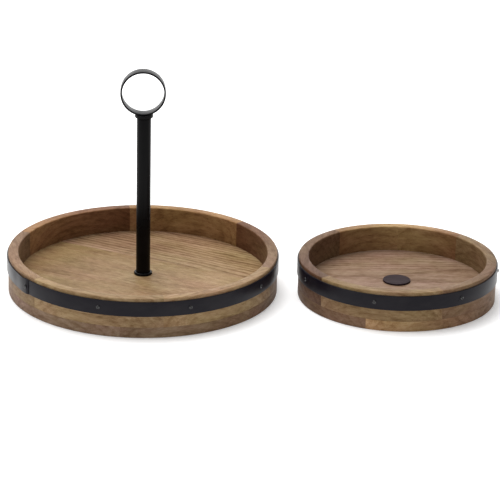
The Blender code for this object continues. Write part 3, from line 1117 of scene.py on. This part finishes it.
@dataclass(frozen=True)
class PlugFinish:
    """Dark brown lacquered wood, matte, with a faint turned grain."""

    name: str = "plug_lacquer"
    dark: Colour = (0.012, 0.0055, 0.0072)
    light: Colour = (0.024, 0.0120, 0.0150)
    specular: float = 0.05

    def material(self) -> Material:
        """Builds the node tree, on Object coordinates."""
        g = Graph(self.name)
        grain = g.noise(g.add("TexCoord").outputs["Object"], (60, 700, 60), 3)
        return g.shade({
            "Base Color": g.ramp(grain, [(0.3, self.dark), (0.7, self.light)]),
            "Roughness": g.span(grain, (0.3, 0.7), (0.50, 0.38)),
            "Specular IOR Level": self.specular,
            "Normal": g.bump(grain, 0.15, 0.0002),
        })


@dataclass
class Plug:
    """The round cover over the small tray's hole, with its spigot.

    Attributes:
        chamfer: The bevel of the spigot's end, and the radius of the top's last loop.
    """

    edge_round: float = 0.0008
    crown: float = 0.0002
    spigot: float = 0.0047
    thickness: float = 0.0025
    chamfer: float = 0.0006
    under_bevel: float = 0.0002

    def build(self, finish: Material) -> None:
        """Builds the plug as a turned solid, flat underneath and slightly crowned on top."""
        axis, radius, bottom, top = round_of("hole_plug")
        seat = top - self.thickness
        below = [
            (self.spigot - self.chamfer, bottom), (self.spigot, bottom + self.chamfer),
            (self.spigot, seat), (radius - self.under_bevel, seat), (radius, seat + self.under_bevel),
        ]
        turned = np.linspace(0, math.pi / 2, 7)
        edge = radius - self.edge_round
        side_z = top - self.crown - self.edge_round * (1 - np.sin(turned))
        side = np.column_stack([edge + self.edge_round * np.cos(turned), side_z])
        over_r = np.linspace(edge, self.chamfer, 16)[1:]
        over = np.column_stack([over_r, top - self.crown * (over_r / edge) ** 2])
        outline = np.concatenate([below, side, over])
        grid = loops_about(axis, outline[:, :1], full_turn(128), outline[:, 1:])
        piece = Piece("hole_plug_cover", grid, False)
        piece.build(finish, PLUG_BODY, "plug_finish", ["hole_plug"])


# ---- studio


def put(name: str, data: bpy.types.ID, axes: Sequence[Array]) -> bpy.types.Object:
    """Adds a light or a camera to the scene.

    Args:
        name: The object's name.
        data: The light or the camera.
        axes: Its right, up and back directions and its place.

    Returns:
        The object.
    """
    matrix = Matrix.Identity(4)
    for column, axis in enumerate(axes):
        for row in range(3):
            matrix[row][column] = float(axis[row])
    obj = bpy.data.objects.new(name, data)
    obj.matrix_world = matrix
    bpy.context.scene.collection.objects.link(obj)
    return obj


@dataclass
class SoftLight:
    """A rectangular area light that looks at a point, itself unseen."""

    name: str
    place: Colour
    target: Colour
    size: tuple[float, float]
    power: float

    def build(self) -> None:
        """Adds the light to the scene."""
        light = bpy.data.lights.new(self.name, "AREA")
        light.shape = "RECTANGLE"
        light.size, light.size_y = self.size
        light.energy = self.power
        place = np.array(self.place)
        back = place - np.array(self.target)
        back /= np.linalg.norm(back)
        side = np.cross([0.0, 1.0, 0.0], back)
        side /= np.linalg.norm(side)
        put(self.name, light, (side, np.cross(back, side), back, place)).visible_camera = False


@dataclass
class Studio:
    """The pale floor, the soft lights and the camera."""

    floor_side: float = 16.0
    floor_drop: float = 0.0002
    floor_colour: Colour = (0.86, 0.86, 0.86)
    ambient: float = 0.50
    floor_glow: float = 0.20
    camera_place: Colour = (-0.0028, -3.7117, 1.4511)
    camera_right: Colour = (0.99977, 0.00764, 0.01987)
    camera_up: Colour = (-0.02129, 0.35023, 0.93642)
    focal_length: float = 192.07
    lights: list[SoftLight] = field(default_factory=lambda: [
        SoftLight("overhead", (-0.6, 0.6, 2.4), (0.0, 0.0, 0.0), (2.4, 2.4), 98.0),
        SoftLight("backdrop", (0.0, 2.4, 0.85), (0.0, 0.0, 0.25), (3.4, 1.5), 24.0),
    ])

    def build(self) -> None:
        """Builds everything that isn't the object."""
        self.build_floor()
        self.build_world()
        for light in self.lights:
            light.build()
        self.build_camera()
        view = bpy.context.scene.view_settings
        view.view_transform = "Standard"
        view.look = "None"

    def build_floor(self) -> None:
        """Adds the floor just under the feet."""
        half = self.floor_side / 2
        mesh = bpy.data.meshes.new("floor")
        square = ((-half, -half), (half, -half), (half, half), (-half, half))
        mesh.from_pydata([(*corner, -self.floor_drop) for corner in square], [], [(0, 1, 2, 3)])
        mesh.materials.append(Graph("studio_floor").shade({
            "Base Color": (*self.floor_colour, 1.0), "Roughness": 0.9, "Specular IOR Level": 0.1,
            "Emission Color": (1.0, 1.0, 1.0, 1.0), "Emission Strength": self.floor_glow,
        }))
        floor = bpy.data.objects.new("floor", mesh)
        bpy.context.scene.collection.objects.link(floor)

    def build_world(self) -> None:
        """Sets an even white surround."""
        world = bpy.data.worlds.new("surround")
        world.use_nodes = True
        background = world.node_tree.nodes["Background"].inputs
        background["Color"].default_value = (1.0, 1.0, 1.0, 1.0)
        background["Strength"].default_value = self.ambient
        bpy.context.scene.world = world

    def build_camera(self) -> None:
        """Places the camera with a long lens, looking down at the set from the front."""
        camera = bpy.data.cameras.new("camera")
        camera.lens = self.focal_length
        camera.sensor_width = 36.0
        camera.clip_end = 100.0
        right, up = self.camera_right, self.camera_up
        axes = (right, up, np.cross(right, up), self.camera_place)
        bpy.context.scene.camera = put("camera", camera, axes)


def cut(start: float, rows: list[tuple]) -> list[Wood]:
    """Blocks or boards cut one after the other along the log, half a metre apart.

    Args:
        start: Where along the log the first one was cut, in metres.
        rows: Each one's stain, far stain, figure, pith, tilt and side.

    Returns:
        How each was cut.
    """
    return [Wood(*row[:5], start + LOG_STEP * number, row[5]) for number, row in enumerate(rows)]


def trays() -> tuple[Tray, Tray]:
    """The large and the small tray, with how each block and board was cut and stained, and painted
    shade on the small tray's side next to the large one.
    """
    large = Tray(
        name="large", body=LARGE_BODY, grain=-26.0, band_seam=-54.0,
        upper=cut(0.0, [
            (Stain.HONEY, Stain.OLIVE, 0.3, 0.06, 3.0, 0.01),
            (Stain.CLAY, Stain.RUSSET, 0.2, 0.05, -4.0, 0.03),
            (Stain.AMBER, Stain.AMBER, 0.3, 0.08, 2.0, -0.02),
            (Stain.RUSSET, Stain.AMBER, 0.3, 0.04, 5.0, 0.02),
            (Stain.CLAY, Stain.OLIVE, 0.2, 0.07, -3.0, -0.03),
            (Stain.HONEY, Stain.TAN, 0.3, 0.05, 2.5, 0.0),
        ]),
        lower=cut(3.0, [
            (Stain.UMBER, Stain.UMBER, 0.3, 0.05, 2.0, 0.02),
            (Stain.CLAY, Stain.CLAY, 0.3, 0.06, -2.0, 0.0),
            (Stain.CLAY, Stain.OLIVE, 0.3, 0.07, 3.0, 0.01),
            (Stain.CLAY, Stain.CLAY, 0.3, 0.04, -3.0, -0.01),
            (Stain.ROSE, Stain.ROSE, 0.3, 0.05, 2.0, 0.02),
            (Stain.ROSE, Stain.CLAY, 0.3, 0.06, 1.0, 0.03),
        ]),
        boards=cut(6.0, [
            (Stain.FAWN, Stain.HONEY, 0.10, 0.09, 1.0, 0.05),
            (Stain.FAWN, Stain.HONEY, 0.2, 0.07, 1.5, -0.02),
            (Stain.CLAY, Stain.HONEY, 0.8, 0.08, 2.0, 0.04),
        ]),
    )
    small = Tray(
        name="small", body=SMALL_BODY, grain=3.0, band_seam=190.5,
        upper=cut(8.0, [
            (Stain.CLAY, Stain.UMBER, 0.2, 0.06, 2.0, 0.01),
            (Stain.UMBER, Stain.FAWN, 0.3, 0.05, -3.0, 0.03),
            (Stain.TAWNY, Stain.GOLD, 0.3, 0.07, 3.0, -0.02),
            (Stain.GOLD, Stain.TAWNY, 0.3, 0.05, 2.0, 0.02),
            # Its far end, on the small tray's left side beside the large tray, is darker wood with
            # painted shade.
            (Stain.UMBER, Stain.PAINTED_SHADE, 0.3, 0.04, -4.0, 0.0),
            (Stain.FAWN, Stain.OLIVE, 0.3, 0.06, 2.0, 0.01),
        ]),
        lower=cut(11.0, [
            (Stain.CLAY, Stain.CLAY, 0.3, 0.05, 2.0, 0.02),
            (Stain.CLAY, Stain.CLAY, 0.3, 0.06, -2.0, 0.0),
            (Stain.CLAY, Stain.OLIVE, 0.3, 0.07, 3.0, 0.01),
            (Stain.CLAY, Stain.CLAY, 0.3, 0.04, -3.0, -0.01),
            # Its first end, beside the large tray, is darker wood with painted shade, fading towards
            # the front.
            (Stain.PAINTED_SHADE, Stain.CLAY, 0.3, 0.05, 2.0, 0.02),
            (Stain.GOLD, Stain.CLAY, 0.3, 0.06, 1.0, 0.03),
        ]),
        boards=cut(14.0, [
            (Stain.ROSE, Stain.ROSE, 0.4, 0.09, 1.0, 0.05),
            (Stain.ROSE, Stain.ROSE, 0.4, 0.07, -1.0, -0.02),
            (Stain.ROSE, Stain.ROSE, 0.5, 0.08, 1.5, 0.04),
        ]),
    )
    return large, small


def main() -> None:
    """Builds the finishes, each sub-assembly in order, and the studio."""
    logging.basicConfig(level=logging.INFO, format="%(message)s")
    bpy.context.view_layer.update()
    wood = WoodFinish().material()
    paint = PaintFinish().material()
    coat = PaintFinish(
        "black_post_coat", (0.0028, 0.0027, 0.0031), (0.0050, 0.0046, 0.0050), specular=0.08
    ).material()
    head = PaintFinish(
        "black_screw_paint", (0.010, 0.010, 0.011), (0.022, 0.021, 0.021), (0.18, 0.26), specular=0.55
    ).material()
    steel = SteelFinish().material()
    for tray in trays():
        tray.build_rim(wood)
        tray.build_floor(wood)
        tray.build_band(paint)
        tray.build_screws(head)
    Post().build(coat, steel)
    Fixings().build(steel)
    RingHandle().build(coat, steel)
    Plug().build(PlugFinish().material())
    Studio().build()


if __name__ == "__main__":
    main()
